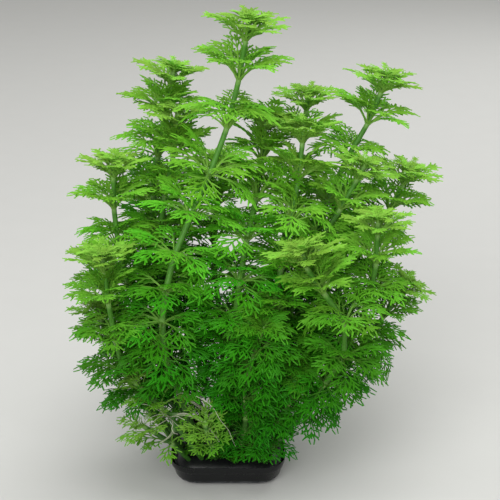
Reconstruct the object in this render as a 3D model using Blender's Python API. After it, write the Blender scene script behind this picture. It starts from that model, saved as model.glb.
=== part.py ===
# Dwarf ambulia: a bunch of rooted sprigs standing in a low square pot of dark gravel.
# Metres, +Z up, origin at the centre of the pot's underside, the side seen in the photo towards -Y.
# Each sprig grew as one piece, so its stem and its whorls of leaves are one closed solid.

import math
import random

import bmesh
import bpy
from mathutils import Matrix, Vector
from mathutils.bvhtree import BVHTree

MM = 0.001

# Pot: thin plastic, square with round corners, a little narrower at the foot
POT_WIDTH = 58 * MM
POT_HEIGHT = 15 * MM
POT_CORNER = 12 * MM
POT_TAPER = 2.5 * MM
POT_WALL = 1.4 * MM
POT_FLOOR = 1.6 * MM
CORNER_STEPS = 4

# Gravel fill, with a socket for each stem
GAP = 0.35 * MM
FILL_TOP = 10.5 * MM
SOCKET_BOTTOM = 5 * MM
ROOT_DEPTH = 5.6 * MM

# Stems
LEAVES = 5
BOTTOM_RADIUS = 1.75 * MM
TIP_RADIUS = 1.05 * MM
TAPER_LENGTH = 180 * MM
NODE_HEIGHT = 1.7 * MM
NODE_SWELL = 1.12
BARE_STEP = 30 * MM
BUD_HEIGHT = 2.4 * MM
SOCKET_SIDES = 6
LEAD = 9 * MM
ROUTE_STEPS = 24
TANGENT_REACH = 2 * MM
PHASE_STEP = 37

# Distance from each whorl to the next one down, from the youngest; the last value repeats
SPACING = [7 * MM, 17 * MM, 21.5 * MM, 21.5 * MM, 20 * MM, 18 * MM, 15.5 * MM, 14 * MM]

# Leaves: a stalk that widens to the broadest part, which then arches over to a blunt end
LEAF_LENGTH = 23.5 * MM
LEAF_WIDTH = 11.5 * MM
LEAF_THICKNESS = 1.0 * MM
BROADEST_AT = 0.6
END_WIDTH_SHARE = 0.66
STRAIGHT_END_SHARE = 0.85
BEND = 50
UPRIGHT_SHARE = 0.6
SEAT_OFFSET = 1.5 * MM
ROOM_SHARE = 0.88
LENGTH_SPREAD = (0.94, 1.05)
RISE_SPREAD = 5

# Share of the full length and rise in degrees for each whorl, from the youngest; the last value repeats
LENGTH_BY_AGE = [0.38, 0.88, 1.0, 1.0, 0.98, 0.94, 0.9, 0.85]
RISE_BY_AGE = [50, 48, 44, 40, 14, 5, -2, -6, -8]

# The bud's leaves and the oldest ones, from this whorl down, are straight
OLD_AGE = 4

# A leaf that would touch a neighbour, or hang below the rim, is turned or shortened until it is clear
CLEARANCE = 0.4 * MM
LENGTH_TRIES = [1.0, 0.92, 0.84, 0.76, 0.68, 0.6, 0.52, 0.45]
TURN_TRIES = [(0, 0), (9, 0), (-9, 0), (0, 10), (0, -10), (18, 0), (-18, 0), (14, 10), (14, -10)]

# Each sprig: how many whorls it carries, the scale of their spacing, the scale of its leaves, and the points
# its stem passes in mm, from its root in the gravel to its growing tip. The order is the order of growth.
SPRIGS = {
    "sprig_tall_front": (11, 1.06, 1.06, [(-11, -11), (-21, -24, 45), (-29, -36, 80), (-28, -37, 102),
                                          (-23, -31, 124), (-8, -17, 156), (3, -9, 186), (11, -8, 227.5)]),
    "sprig_right_front": (8, 0.82, 0.92, [(18, -10), (44, -21, 52), (62, -29, 88), (68, -30, 112),
                                          (69, -30, 142)]),
    "sprig_left_front": (6, 0.9, 0.9, [(-18, -12), (-45, -30, 57), (-51, -38, 85), (-54, -40, 112),
                                       (-55, -40, 128)]),
    "sprig_left_tall": (8, 0.9, 0.92, [(-13, -2), (-37, -4, 66), (-50, -7, 112), (-53, -5, 138),
                                       (-52, -5, 162)]),
    "sprig_bent": (7, 0.9, 0.95, [(14, -15), (36, -32, 46), (54, -43, 78), (53, -46, 98), (38, -50, 120),
                                  (33, -50, 134)]),
    "sprig_centre": (9, 1.0, 0.95, [(7, -11), (12, -29, 50), (20, -38, 90), (27, -24, 124), (34, -5, 154),
                                    (36, 4, 177)]),
    "sprig_front_low": (8, 0.62, 0.85, [(4, -16), (9, -32, 38), (8, -39, 56), (12, -43, 76), (18, -49, 97)]),
    "sprig_rooted": (3, 0.8, 0.85, [(-9, -18), (-18, -27, 25), (-27, -34, 43), (-39, -37, 58),
                                    (-45, -39, 66)]),
    "sprig_front_shoot": (3, 0.9, 0.85, [(-5, -14), (-7, -32, 25), (-9, -43, 39), (-10, -48, 49)]),
    "sprig_left_shoot": (3, 0.9, 0.95, [(-15, -17), (-26, -30, 26), (-35, -38, 37), (-41, -43, 44)]),
    "sprig_low_right": (5, 0.7, 0.85, [(10, -18), (21, -32, 32), (30, -38, 54), (33, -39, 72)]),
    "sprig_right_upper": (9, 0.95, 0.95, [(10, -3), (23, -8, 58), (38, -11, 112), (52, -5, 134),
                                          (66, 0, 159)]),
    "sprig_far_right": (8, 0.85, 0.95, [(21, 5), (44, 12, 66), (66, 18, 108), (80, 19, 130), (89, 20, 150)]),
    "sprig_right_tall": (10, 0.97, 1.0, [(12, 8), (26, 14, 62), (40, 16, 110), (56, 25, 148), (68, 31, 168),
                                        (78, 35, 193)]),
    "sprig_right_low": (5, 0.8, 0.8, [(19, -5), (46, -17, 48), (68, -20, 78), (77, -20, 94), (85, -20, 108)]),
    "sprig_left_low": (5, 0.75, 0.75, [(-18, -5.5), (-43, -17, 49), (-55, -23, 72), (-60, -25, 98)]),
    "sprig_back_centre": (9, 1.0, 0.95, [(7, 14), (20, 40, 76), (34, 48, 126), (40, 46, 182)]),
    "sprig_back_left": (8, 0.93, 1.0, [(-10, 15), (-29, 26, 68), (-37, 27, 118), (-33, 27, 160),
                                       (-25, 30, 198)]),
    "sprig_slender": (8, 0.9, 0.85, [(-20, 6), (-31, 11, 66), (-33, 12, 118), (-26, 12, 156),
                                     (-22, 12, 182)]),
    "sprig_inner": (9, 1.0, 0.9, [(-1, -9), (1, -24, 50), (4, -36, 92), (8, -30, 122), (15, -2, 148),
                                  (19, 26, 176)]),
    "sprig_rear_left": (6, 0.95, 0.95, [(-2, 20), (-20, 36, 50), (-36, 52, 90), (-42, 56, 124)]),
    "sprig_rear_centre": (7, 0.95, 0.95, [(1, 9), (-4, 36, 56), (-8, 56, 100), (-2, 58, 144)]),
    "sprig_rear_right": (6, 0.95, 0.95, [(18, 17), (34, 42, 50), (50, 54, 90), (56, 56, 126)]),
    "sprig_rear_low": (6, 0.9, 0.9, [(-18, 13), (-42, 26, 44), (-60, 30, 74), (-66, 30, 104)]),
    "sprig_rear_shoot": (3, 0.8, 0.8, [(3, 19), (2, 33, 28), (-1, 47, 48), (-2, 50, 62)]),
    "sprig_rear_side": (3, 0.8, 0.8, [(12, 18), (18, 32, 26), (25, 44, 44), (27, 48, 58)]),
}

# Roots that hang from a bare stem: its sprig, the height in mm where it leaves the stem, and its points
ROOTS = [
    ("sprig_rooted", 43, [(-17, -37, 46), (-9, -39.5, 41), (-4, -37, 33), (-2, -34, 25)]),
    ("sprig_rooted", 36, [(-27, -36.5, 33), (-33, -39, 31), (-38, -40, 24)]),
    ("sprig_tall_front", 50, [(-16, -27, 47), (-8, -27, 39), (-5, -25, 28)]),
]
ROOT_WIDTHS = [0.8 * MM, 0.65 * MM, 0.5 * MM]


def clear_scene():
    for obj in list(bpy.data.objects):
        bpy.data.objects.remove(obj)


def plain_material(name, colour, roughness):
    material = bpy.data.materials.new(name)
    material.use_nodes = True
    shader = material.node_tree.nodes["Principled BSDF"]
    shader.inputs["Base Color"].default_value = (*colour, 1.0)
    shader.inputs["Roughness"].default_value = roughness
    shader.inputs["Metallic"].default_value = 0.0
    return material


def add_object(name, bm, material=None):
    mesh = bpy.data.meshes.new(name)
    bmesh.ops.recalc_face_normals(bm, faces=bm.faces[:])
    if bm.calc_volume(signed=True) < 0:
        bmesh.ops.reverse_faces(bm, faces=bm.faces[:])
    bm.to_mesh(mesh)
    bm.free()
    if material:
        mesh.materials.append(material)
    obj = bpy.data.objects.new(name, mesh)
    bpy.context.scene.collection.objects.link(obj)
    return obj


# Pot and gravel

def pot_half_width(z):
    # Half the outside width at a height: the sides lean out from foot to rim
    return POT_WIDTH / 2 - POT_TAPER * (1 - z / POT_HEIGHT)


def rounded_square(half, corner, z):
    points = []
    for quarter in range(4):
        middle = math.radians(90 * quarter + 45)
        centre = Vector((math.cos(middle), math.sin(middle))) * (half - corner) * math.sqrt(2)
        for step in range(CORNER_STEPS + 1):
            turn = math.radians(90 * (quarter + step / CORNER_STEPS))
            points.append(Vector((centre.x + corner * math.cos(turn), centre.y + corner * math.sin(turn), z)))
    return points


def raised(bm, face, before, after):
    # Extrudes a face from one outline to another: its corner at before[k] goes to after[k]
    grown = bmesh.ops.extrude_face_region(bm, geom=[face, *face.edges])["geom"]
    top = next(f for f in grown if isinstance(f, bmesh.types.BMFace))
    for vert in top.verts:
        nearest = min(range(len(before)), key=lambda k: (before[k] - vert.co).length)
        vert.co = after[nearest]
    return top


def block(bm, half_bottom, half_top, bottom, top, corner):
    # A closed rounded block: its floor is drawn and then extruded up to its top
    low = rounded_square(half_bottom, corner, bottom)
    floor = bm.faces.new([bm.verts.new(p) for p in low])
    return raised(bm, floor, low, rounded_square(half_top, corner, top))


def build_pot(material):
    bm = bmesh.new()
    rim = block(bm, pot_half_width(0), pot_half_width(POT_HEIGHT), 0, POT_HEIGHT, POT_CORNER)
    bmesh.ops.inset_region(bm, faces=[rim], thickness=POT_WALL, use_even_offset=True)
    inner = bmesh.ops.extrude_discrete_faces(bm, faces=[rim])["faces"][0]
    shrink = (pot_half_width(POT_FLOOR) - POT_WALL) / (pot_half_width(POT_HEIGHT) - POT_WALL)
    for vert in inner.verts:
        vert.co = Vector((vert.co.x * shrink, vert.co.y * shrink, POT_FLOOR))
    return add_object("pot", bm, material)


def build_gravel(material, stems):
    bottom = POT_FLOOR + GAP
    bm = bmesh.new()
    block(bm, pot_half_width(bottom) - POT_WALL - GAP, pot_half_width(FILL_TOP) - POT_WALL - GAP,
          bottom, FILL_TOP, POT_CORNER - POT_WALL - GAP)
    gravel = add_object("gravel_fill", bm, material)

    # One socket a stem: a prism along the stem, whose flats clear the stem by the gap
    sockets = bmesh.new()
    radius = (BOTTOM_RADIUS + GAP) / math.cos(math.pi / SOCKET_SIDES)
    depth = 2 * (FILL_TOP - SOCKET_BOTTOM)
    for stem in stems.values():
        lean = stem.tangent(0)
        start = stem.point(0) - lean * (ROOT_DEPTH - SOCKET_BOTTOM)
        turn = lean.to_track_quat("Z", "Y").to_matrix().to_4x4()
        bmesh.ops.create_cone(sockets, cap_ends=True, segments=SOCKET_SIDES, radius1=radius, radius2=radius,
                              depth=depth, matrix=Matrix.Translation(start + lean * depth / 2) @ turn)
    cutter = add_object("socket_cutter", sockets)
    cutter.hide_render = True
    cutter.display_type = "WIRE"
    cut = gravel.modifiers.new("sockets", "BOOLEAN")
    cut.operation = "DIFFERENCE"
    cut.solver = "EXACT"
    cut.object = cutter
    return gravel


# Stems

def smooth_route(points):
    # A Catmull-Rom curve through the points
    ends = [2 * points[0] - points[1], *points, 2 * points[-1] - points[-2]]
    route = []
    for before, start, end, after in zip(ends, ends[1:], ends[2:], ends[3:]):
        for step in range(ROUTE_STEPS):
            t = step / ROUTE_STEPS
            square = 2 * before - 5 * start + 4 * end - after
            cube = 3 * start - before - 3 * end + after
            route.append(0.5 * (2 * start + (end - before) * t + square * t * t + cube * t ** 3))
    return route + [points[-1]]


class Stem:
    # The centreline of one stem, read by distance from its root

    def __init__(self, number, whorls, pace, points, root_heights):
        root = Vector((*points[0], 0)) * MM + Vector((0, 0, ROOT_DEPTH))
        rest = [Vector(p) * MM for p in points[1:]]
        # The stem leaves the gravel straight
        lead = root + (rest[0] - root).normalized() * LEAD
        self.route = smooth_route([root, lead, *rest])
        self.along = [0.0]
        for a, b in zip(self.route, self.route[1:]):
            self.along.append(self.along[-1] + (b - a).length)
        self.length = self.along[-1]
        self.phase = math.radians(PHASE_STEP * number)
        self.whorls = self.whorl_places(whorls, pace)
        self.roots = [self.distance_at(height * MM) for height in root_heights]

    def whorl_places(self, whorls, pace):
        places = [self.length - BUD_HEIGHT - NODE_HEIGHT]
        while len(places) < whorls:
            places.append(places[-1] - pace * by_age(SPACING, len(places) - 1))
        return places

    def distance_at(self, height):
        return next(self.along[i] for i, p in enumerate(self.route) if p.z >= height)

    def point(self, distance):
        for i in range(1, len(self.route)):
            if self.along[i] >= distance:
                share = (distance - self.along[i - 1]) / (self.along[i] - self.along[i - 1])
                return self.route[i - 1].lerp(self.route[i], share)
        return self.route[-1].copy()

    def tangent(self, distance):
        low = max(0.0, distance - TANGENT_REACH)
        high = min(self.length, distance + TANGENT_REACH)
        return (self.point(high) - self.point(low)).normalized()

    def radius(self, distance):
        grown = min(1.0, (self.length - distance) / TAPER_LENGTH)
        return TIP_RADIUS + (BOTTOM_RADIUS - TIP_RADIUS) * grown

    def ring(self, distance, turned=False, swell=1.0):
        # The stem's corners there, turned by half a leaf or not
        tangent = self.tangent(distance)
        side = Vector((1, 0, 0)).cross(tangent).normalized()
        start = self.phase + turned * math.pi / LEAVES
        corners = []
        for k in range(LEAVES):
            spoke = side.copy()
            spoke.rotate(Matrix.Rotation(start + 2 * math.pi * k / LEAVES, 3, tangent))
            corners.append(self.point(distance) + spoke * self.radius(distance) * swell)
        return corners

    def stations(self):
        # (ring, what grows between it and the next ring up), from the root to the tip
        bands = {distance: ("whorl", age) for age, distance in enumerate(self.whorls)}
        bands.update({distance: ("root", k) for k, distance in enumerate(self.roots)})
        lowest = self.whorls[-1]
        steps = max(2, round(lowest / BARE_STEP))
        bare = [lowest * k / steps for k in range(1, steps)]
        bare = [d for d in bare if min(abs(d - band) for band in bands) > 3 * NODE_HEIGHT]
        found = [(self.ring(0), None)]
        for distance in sorted([*bare, *bands]):
            if distance in bands:
                # Each whorl is turned half a leaf from its neighbours
                kind, number = bands[distance]
                turned = kind == "whorl" and number % 2 == 1
                found.append((self.ring(distance, turned, NODE_SWELL), bands[distance]))
                found.append((self.ring(distance + NODE_HEIGHT, turned, NODE_SWELL), None))
            else:
                found.append((self.ring(distance), None))
        return found


def by_age(values, age):
    return values[min(age, len(values) - 1)]


def grow_stem(bm, stem):
    # Extrudes the root's outline up through every ring. Returns the side faces of each band that bears growth
    stations = stem.stations()
    cap = bm.faces.new([bm.verts.new(p) for p in stations[0][0]])
    bands = {}
    for (low, growth), (high, _) in zip(stations, stations[1:]):
        cap = raised(bm, cap, low, high)
        if growth:
            bands[growth] = [f for e in cap.edges for f in e.link_faces if f != cap]
    top = stations[-1][0]
    bud = raised(bm, cap, top, [stem.route[-1]] * LEAVES)
    bmesh.ops.pointmerge(bm, verts=bud.verts[:], merge_co=stem.route[-1])
    return bands


def outgrown(bm, face, side, up, place):
    # Extrudes a four-cornered face by itself and puts its corners at place(side sign, up sign)
    grown = bmesh.ops.extrude_discrete_faces(bm, faces=[face])["faces"][0]
    middle = grown.calc_center_median()
    signs = {v: (math.copysign(1, (v.co - middle).dot(side)), math.copysign(1, (v.co - middle).dot(up)))
             for v in grown.verts}
    for vert, (right, upper) in signs.items():
        vert.co = place(right, upper)
    return grown, signs


def sleeve(rings):
    # A closed test shape through four-cornered rings
    points = [p for ring in rings for p in ring]
    last = 4 * (len(rings) - 1)
    faces = [(0, 3, 2, 1), (last, last + 1, last + 2, last + 3)]
    for start in range(0, last, 4):
        for k in range(4):
            faces.append((start + k, start + (k + 1) % 4, start + 4 + (k + 1) % 4, start + 4 + k))
    return BVHTree.FromPolygons(points, faces)


def four_corners(middle, side, up):
    return [middle - side - up, middle + side - up, middle + side + up, middle - side + up]


def stem_tree(stem):
    rings = [ring for ring, _ in stem.stations()] + [[stem.route[-1]] * LEAVES]
    points = [corner for ring in rings for corner in ring]
    faces = []
    for low in range(0, len(points) - LEAVES, LEAVES):
        for k in range(LEAVES):
            after = (k + 1) % LEAVES
            faces.append((low + k, low + after, low + LEAVES + after, low + LEAVES + k))
    return BVHTree.FromPolygons(points, faces)


# Leaves

class Leaf:
    # One leaf: its seat on a side face of the stem, its broadest part and its blunt end

    def __init__(self, stem, age, face, scale, chance):
        axis = stem.tangent(stem.whorls[age])
        self.seat = face.calc_center_median()
        self.stem_axis = axis
        self.up = axis.lerp(Vector((0, 0, 1)), UPRIGHT_SHARE).normalized()
        out = self.seat - stem.point(stem.whorls[age] + NODE_HEIGHT / 2)
        self.out = (out - self.up * out.dot(self.up)).normalized()
        self.straight = age == 0 or age >= OLD_AGE
        share = by_age(LENGTH_BY_AGE, age) * scale
        self.length = LEAF_LENGTH * share * chance.uniform(*LENGTH_SPREAD)
        self.width = LEAF_WIDTH * share
        self.rise = by_age(RISE_BY_AGE, age) + chance.uniform(-RISE_SPREAD, RISE_SPREAD)

    def placed(self, share, lift, swing):
        # The leaf's places when it is shortened, lifted and swung by these amounts
        out = self.out.copy()
        out.rotate(Matrix.Rotation(math.radians(swing), 3, self.up))
        rise = math.radians(self.rise + lift)
        arch = rise if self.straight else rise - math.radians(BEND)
        first = out * math.cos(rise) + self.up * math.sin(rise)
        last = out * math.cos(arch) + self.up * math.sin(arch)
        length = self.length * share
        broad = self.seat + first * length * BROADEST_AT
        across = self.up.cross(out).normalized()
        room = 2 * (length * BROADEST_AT * math.cos(rise) + TIP_RADIUS) * math.sin(math.pi / LEAVES)
        width = min(self.width * (1 + share) / 2, ROOM_SHARE * room)
        return {
            "broad": broad,
            "end": broad + last * length * (1 - BROADEST_AT),
            "first": first,
            "last": last,
            "across": across,
            "over": (first + last).normalized().cross(across),
            "width": width,
            "end_width": width * (STRAIGHT_END_SHARE if self.straight else END_WIDTH_SHARE),
        }

    def guard(self, spot):
        # The leaf's rings, larger by the clearance on every side
        sections = [(self.seat + spot["first"] * SEAT_OFFSET, NODE_HEIGHT), (spot["broad"], spot["width"]),
                    (spot["end"] + spot["last"] * CLEARANCE, spot["end_width"])]
        side, lift = spot["across"], spot["over"] * (LEAF_THICKNESS / 2 + CLEARANCE)
        return [four_corners(middle, side * (width / 2 + CLEARANCE), lift) for middle, width in sections]

    def fitted(self, others):
        # The longest, least turned place that is clear of the others, and its test shape
        for share in LENGTH_TRIES:
            for lift, swing in TURN_TRIES:
                spot = self.placed(share, lift, swing)
                rings = self.guard(spot)
                if min(p.z for ring in rings for p in ring) < POT_HEIGHT:
                    continue
                tree = sleeve(rings)
                if not any(tree.overlap(other) for other in others):
                    return spot, tree
        return None, None

    def grow(self, bm, face, spot):
        side, over = spot["across"], spot["over"]
        half_broad, half_end = side * spot["width"] / 2, side * spot["end_width"] / 2
        half_thick = over * LEAF_THICKNESS / 2
        up = self.stem_axis
        if not self.straight:
            face, _ = outgrown(bm, face, side, up, lambda right, upper:
                               spot["broad"] + right * half_broad + upper * half_thick)
            up = over
        face, signs = outgrown(bm, face, side, up, lambda right, upper: spot["end"] + right * half_end)
        lower = {right: vert for vert, (right, upper) in signs.items() if upper < 0}
        targets = {vert: lower[right] for vert, (right, upper) in signs.items() if upper > 0}
        bmesh.ops.weld_verts(bm, targetmap=targets)


# Roots

class Root:
    # One root from the side face of a stem: a thin square thread through its points to a sharp tip

    def __init__(self, stem, number, points):
        self.start = stem.point(stem.roots[number] + NODE_HEIGHT / 2)
        self.stem_axis = stem.tangent(stem.roots[number])
        self.points = [Vector(p) * MM for p in points]

    def sections(self):
        # (middle, side, up) at each point but the tip
        found = []
        up = self.stem_axis
        places = [self.start, *self.points]
        for before, here, after, width in zip(places, self.points, self.points[1:], ROOT_WIDTHS):
            run = (after - before).normalized()
            side = run.cross(up).normalized()
            up = side.cross(run)
            found.append((here, side, up, width))
        return found

    def tree(self):
        rings = []
        for middle, side, up, width in self.sections():
            reach = width / 2 + CLEARANCE
            rings.append(four_corners(middle, side * reach, up * reach))
        first = self.start.lerp(self.points[0], 0.5)
        _, side, up, width = self.sections()[0]
        rings.insert(0, four_corners(first, side * (width / 2 + CLEARANCE), up * (width / 2 + CLEARANCE)))
        rings.append(four_corners(self.points[-1], side * CLEARANCE, up * CLEARANCE))
        return sleeve(rings)

    def grow(self, bm, faces):
        out = (self.points[0] - self.start).normalized()
        face = max(faces, key=lambda f: (f.calc_center_median() - self.start).dot(out))
        up = self.stem_axis
        for middle, side, lift, width in self.sections():
            face, _ = outgrown(bm, face, side, up, lambda right, upper:
                               middle + (right * side + upper * lift) * width / 2)
            up = lift
        face, _ = outgrown(bm, face, side, up, lambda right, upper: self.points[-1])
        bmesh.ops.pointmerge(bm, verts=face.verts[:], merge_co=self.points[-1])


def grow_sprig(name, stem, scale, roots, obstacles, chance, material):
    # Builds one sprig and returns the test shapes of its leaves
    bm = bmesh.new()
    bands = grow_stem(bm, stem)
    for number, root in enumerate(roots):
        root.grow(bm, bands["root", number])
    placed = []
    for age in range(len(stem.whorls)):
        whorl = []
        for face in bands["whorl", age]:
            leaf = Leaf(stem, age, face, scale, chance)
            spot, tree = leaf.fitted(obstacles + placed)
            if spot:
                leaf.grow(bm, face, spot)
                whorl.append(tree)
        placed += whorl
    add_object(name, bm, material)
    return placed


def main():
    clear_scene()
    pot_black = plain_material("pot_plastic", (0.012, 0.013, 0.014), 0.35)
    gravel_black = plain_material("gravel", (0.02, 0.022, 0.024), 0.8)
    plant_green = plain_material("plant_green", (0.10, 0.36, 0.02), 0.5)

    stems, roots = {}, {}
    for number, (name, (whorls, pace, _, points)) in enumerate(SPRIGS.items()):
        own = [(height, places) for sprig, height, places in ROOTS if sprig == name]
        stems[name] = Stem(number, whorls, pace, points, [height for height, _ in own])
        roots[name] = [Root(stems[name], k, places) for k, (_, places) in enumerate(own)]

    pot = build_pot(pot_black)
    gravel = build_gravel(gravel_black, stems)
    bpy.context.view_layer.update()
    graph = bpy.context.evaluated_depsgraph_get()
    fixed = [BVHTree.FromObject(pot, graph), BVHTree.FromObject(gravel, graph)]
    fixed += [root.tree() for own in roots.values() for root in own]
    tubes = {name: stem_tree(stem) for name, stem in stems.items()}

    leaves = []
    chance = random.Random(7)
    for name, stem in stems.items():
        others = [tree for other, tree in tubes.items() if other != name]
        leaves += grow_sprig(name, stem, SPRIGS[name][2], roots[name], fixed + others + leaves, chance,
                             plant_green)


main()
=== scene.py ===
# Dwarf ambulia: feathery water plants bunched in a low square pot of dark gravel.
# Every sprig is read from its plain solid, so a feathery leaf lies wherever the solid has a plain one.
import math
import random

import bmesh
import bpy
import numpy as np
from mathutils import Matrix, Vector


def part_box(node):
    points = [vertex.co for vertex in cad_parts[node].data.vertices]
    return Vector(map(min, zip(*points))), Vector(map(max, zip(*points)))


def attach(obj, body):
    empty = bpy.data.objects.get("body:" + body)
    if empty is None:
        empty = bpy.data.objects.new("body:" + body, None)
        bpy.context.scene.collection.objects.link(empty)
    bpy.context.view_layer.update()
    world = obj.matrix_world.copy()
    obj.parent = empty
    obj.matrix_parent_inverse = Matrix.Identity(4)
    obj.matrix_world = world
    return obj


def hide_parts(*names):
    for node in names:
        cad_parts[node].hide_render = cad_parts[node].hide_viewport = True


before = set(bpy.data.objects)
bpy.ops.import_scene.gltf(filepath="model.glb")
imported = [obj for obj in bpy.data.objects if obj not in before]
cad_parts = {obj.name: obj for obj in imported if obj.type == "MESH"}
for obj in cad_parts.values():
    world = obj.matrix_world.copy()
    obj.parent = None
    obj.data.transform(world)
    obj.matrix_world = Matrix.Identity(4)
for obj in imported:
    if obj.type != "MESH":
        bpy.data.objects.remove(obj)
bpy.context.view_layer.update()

mm = 0.001


# Small helpers

def mix(a, b, share):
    return a + (b - a) * share

def clamped(value):
    return min(1, max(0, value))

def wobble(chance, reach):
    # A random amount from -reach to reach
    return chance.uniform(-reach, reach)

def selectOnly(obj):
    bpy.ops.object.select_all(action="DESELECT")
    obj.select_set(True)
    bpy.context.view_layer.objects.active = obj

def selectParts(obj, kind, wanted):
    # Selects the faces or edges that pass the test, and nothing else
    bpy.ops.mesh.select_all(action="DESELECT")
    bm = bmesh.from_edit_mesh(obj.data)
    for part in getattr(bm, kind):
        if wanted(part):
            part.select_set(True)
    bm.select_flush_mode()
    bmesh.update_edit_mesh(obj.data)

def finishEditing():
    # Turns every face outwards and leaves edit mode
    bpy.ops.mesh.select_all(action="SELECT")
    bpy.ops.mesh.normals_make_consistent(inside=False)
    bpy.ops.object.mode_set(mode="OBJECT")

def newObject(name, mesh):
    obj = bpy.data.objects.new(name, mesh)
    bpy.context.scene.collection.objects.link(obj)
    return obj

def takenShape(obj):
    # The object's points and faces, to be copied. The object itself goes
    mesh = obj.data
    points = np.array([vert.co for vert in mesh.vertices])
    faces = [list(face.vertices) for face in mesh.polygons]
    bpy.data.objects.remove(obj)
    bpy.data.meshes.remove(mesh)
    return points, faces

def joinedCopies(name, copies):
    # One object made of many copies, each given as its placed points and its faces
    points, faces, count = [], [], 0
    for placed, corners in copies:
        points.append(placed)
        faces += [[corner + count for corner in face] for face in corners]
        count += len(placed)
    mesh = bpy.data.meshes.new(name)
    mesh.from_pydata(np.concatenate(points).tolist(), [], faces)
    return newObject(name, mesh)

def pointValues(mesh, name, values):
    mesh.attributes.new(name, "FLOAT", "POINT").data.foreach_set("value", np.asarray(values, np.float32))


# Reading a sprig: its leaves, whorl by whorl from the growing tip down, and its bare stem

sprigReading = {
    "mergeWithin": 0.01 * mm,
    "leafEdge": -0.8,  # a leaf's thin end, where its two sides turn back on each other
    "thinSide": 1.3 * mm,  # a leaf's own sections are thinner than the stem's joints
    "whorlApart": 3 * mm,
    "threadSide": 0.9 * mm,  # roots are thinner than any stem
}

def inOrder(verts):
    # A set of verts in the mesh's own order, so that every run adds them up alike
    return sorted(verts, key=lambda vert: vert.index)

def neighbours(verts):
    near = {other for vert in verts for edge in vert.link_edges for other in edge.verts}
    return near - set(verts)

def middle(verts):
    return sum((vert.co for vert in inOrder(verts)), Vector()) / len(verts)

def thinnest(verts):
    verts = inOrder(verts)
    return min((a.co - b.co).length for i, a in enumerate(verts) for b in verts[i + 1:])

def readLeaves(bm):
    # Each leaf's places, with the verts to remove and the stem's four corners under it
    ends = [edge for edge in bm.edges if edge.is_convex and
            edge.link_faces[0].normal.dot(edge.link_faces[1].normal) < sprigReading["leafEdge"]]
    leaves = []
    for edge in ends:
        tip = set(edge.verts)
        section = neighbours(tip)
        if len(section) != 4:
            continue
        curved = thinnest(section) < sprigReading["thinSide"]
        seat = neighbours(tip | section) & neighbours(section) if curved else section
        side = (edge.verts[1].co - edge.verts[0].co).normalized()
        spans = [vert.co.dot(side) for vert in (section if curved else tip)]
        leaves.append({"base": middle(seat), "end": middle(tip), "broad": middle(section) if curved else None,
                       "side": side, "width": max(spans) - min(spans),
                       "seat": seat, "grown": tip | section if curved else tip})
    return leaves

def intoWhorls(leaves):
    # Leaves that share the stem's corners stand in one whorl
    whorls = []
    for leaf in leaves:
        near = [whorl for whorl in whorls if any(leaf["seat"] & other["seat"] for other in whorl)]
        whorls = [whorl for whorl in whorls if whorl not in near]
        whorls.append([leaf] + [other for whorl in near for other in whorl])

    def centre(whorl):
        return middle({vert for leaf in whorl for vert in leaf["seat"]})

    joined = []
    for whorl in sorted(whorls, key=lambda w: -centre(w).z):
        if joined and (centre(joined[-1]) - centre(whorl)).length < sprigReading["whorlApart"]:
            joined[-1] += whorl
        else:
            joined.append(whorl)
    return [{"leaves": whorl, "centre": centre(whorl)} for whorl in joined]

def coverSeat(bm, corners, centre):
    # Closes the place that a leaf leaves on the stem
    where = middle(corners)
    out = (where - centre).normalized()
    first = (inOrder(corners)[0].co - where).normalized()
    second = out.cross(first)
    bm.faces.new(sorted(corners, key=lambda v: math.atan2((v.co - where).dot(second),
                                                          (v.co - where).dot(first))))

def readSprig(name):
    bm = bmesh.new()
    bm.from_mesh(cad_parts[name].data)
    bmesh.ops.remove_doubles(bm, verts=bm.verts[:], dist=sprigReading["mergeWithin"])
    bm.verts.index_update()
    bm.normal_update()
    whorls = intoWhorls(readLeaves(bm))
    grown = {vert for whorl in whorls for leaf in whorl["leaves"] for vert in leaf["grown"]}
    bmesh.ops.delete(bm, geom=inOrder(grown), context="VERTS")
    for whorl in whorls:
        for leaf in whorl["leaves"]:
            coverSeat(bm, leaf["seat"], whorl["centre"])
    low = min(bm.verts, key=lambda vert: vert.co.z).co.copy()
    centres = [whorl["centre"] for whorl in whorls] + [low]
    for number, whorl in enumerate(whorls):
        above = centres[max(number - 1, 0)]
        whorl["axis"] = (above - centres[number + 1]).normalized()
        whorl["foot"] = low
        for leaf in whorl["leaves"]:
            del leaf["seat"], leaf["grown"]
    return bm, whorls


# Stems: the solid's own stem without its leaves, rounded

stemLook = {
    "fatten": 0.32 * mm,  # makes up for what the rounding takes
    "rounding": 2,
    "convertBelow": math.radians(75),  # loose triangles become quads up to this angle
    "nodeReach": 4 * mm,  # how far a whorl's paler joint reaches along the stem
}

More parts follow.
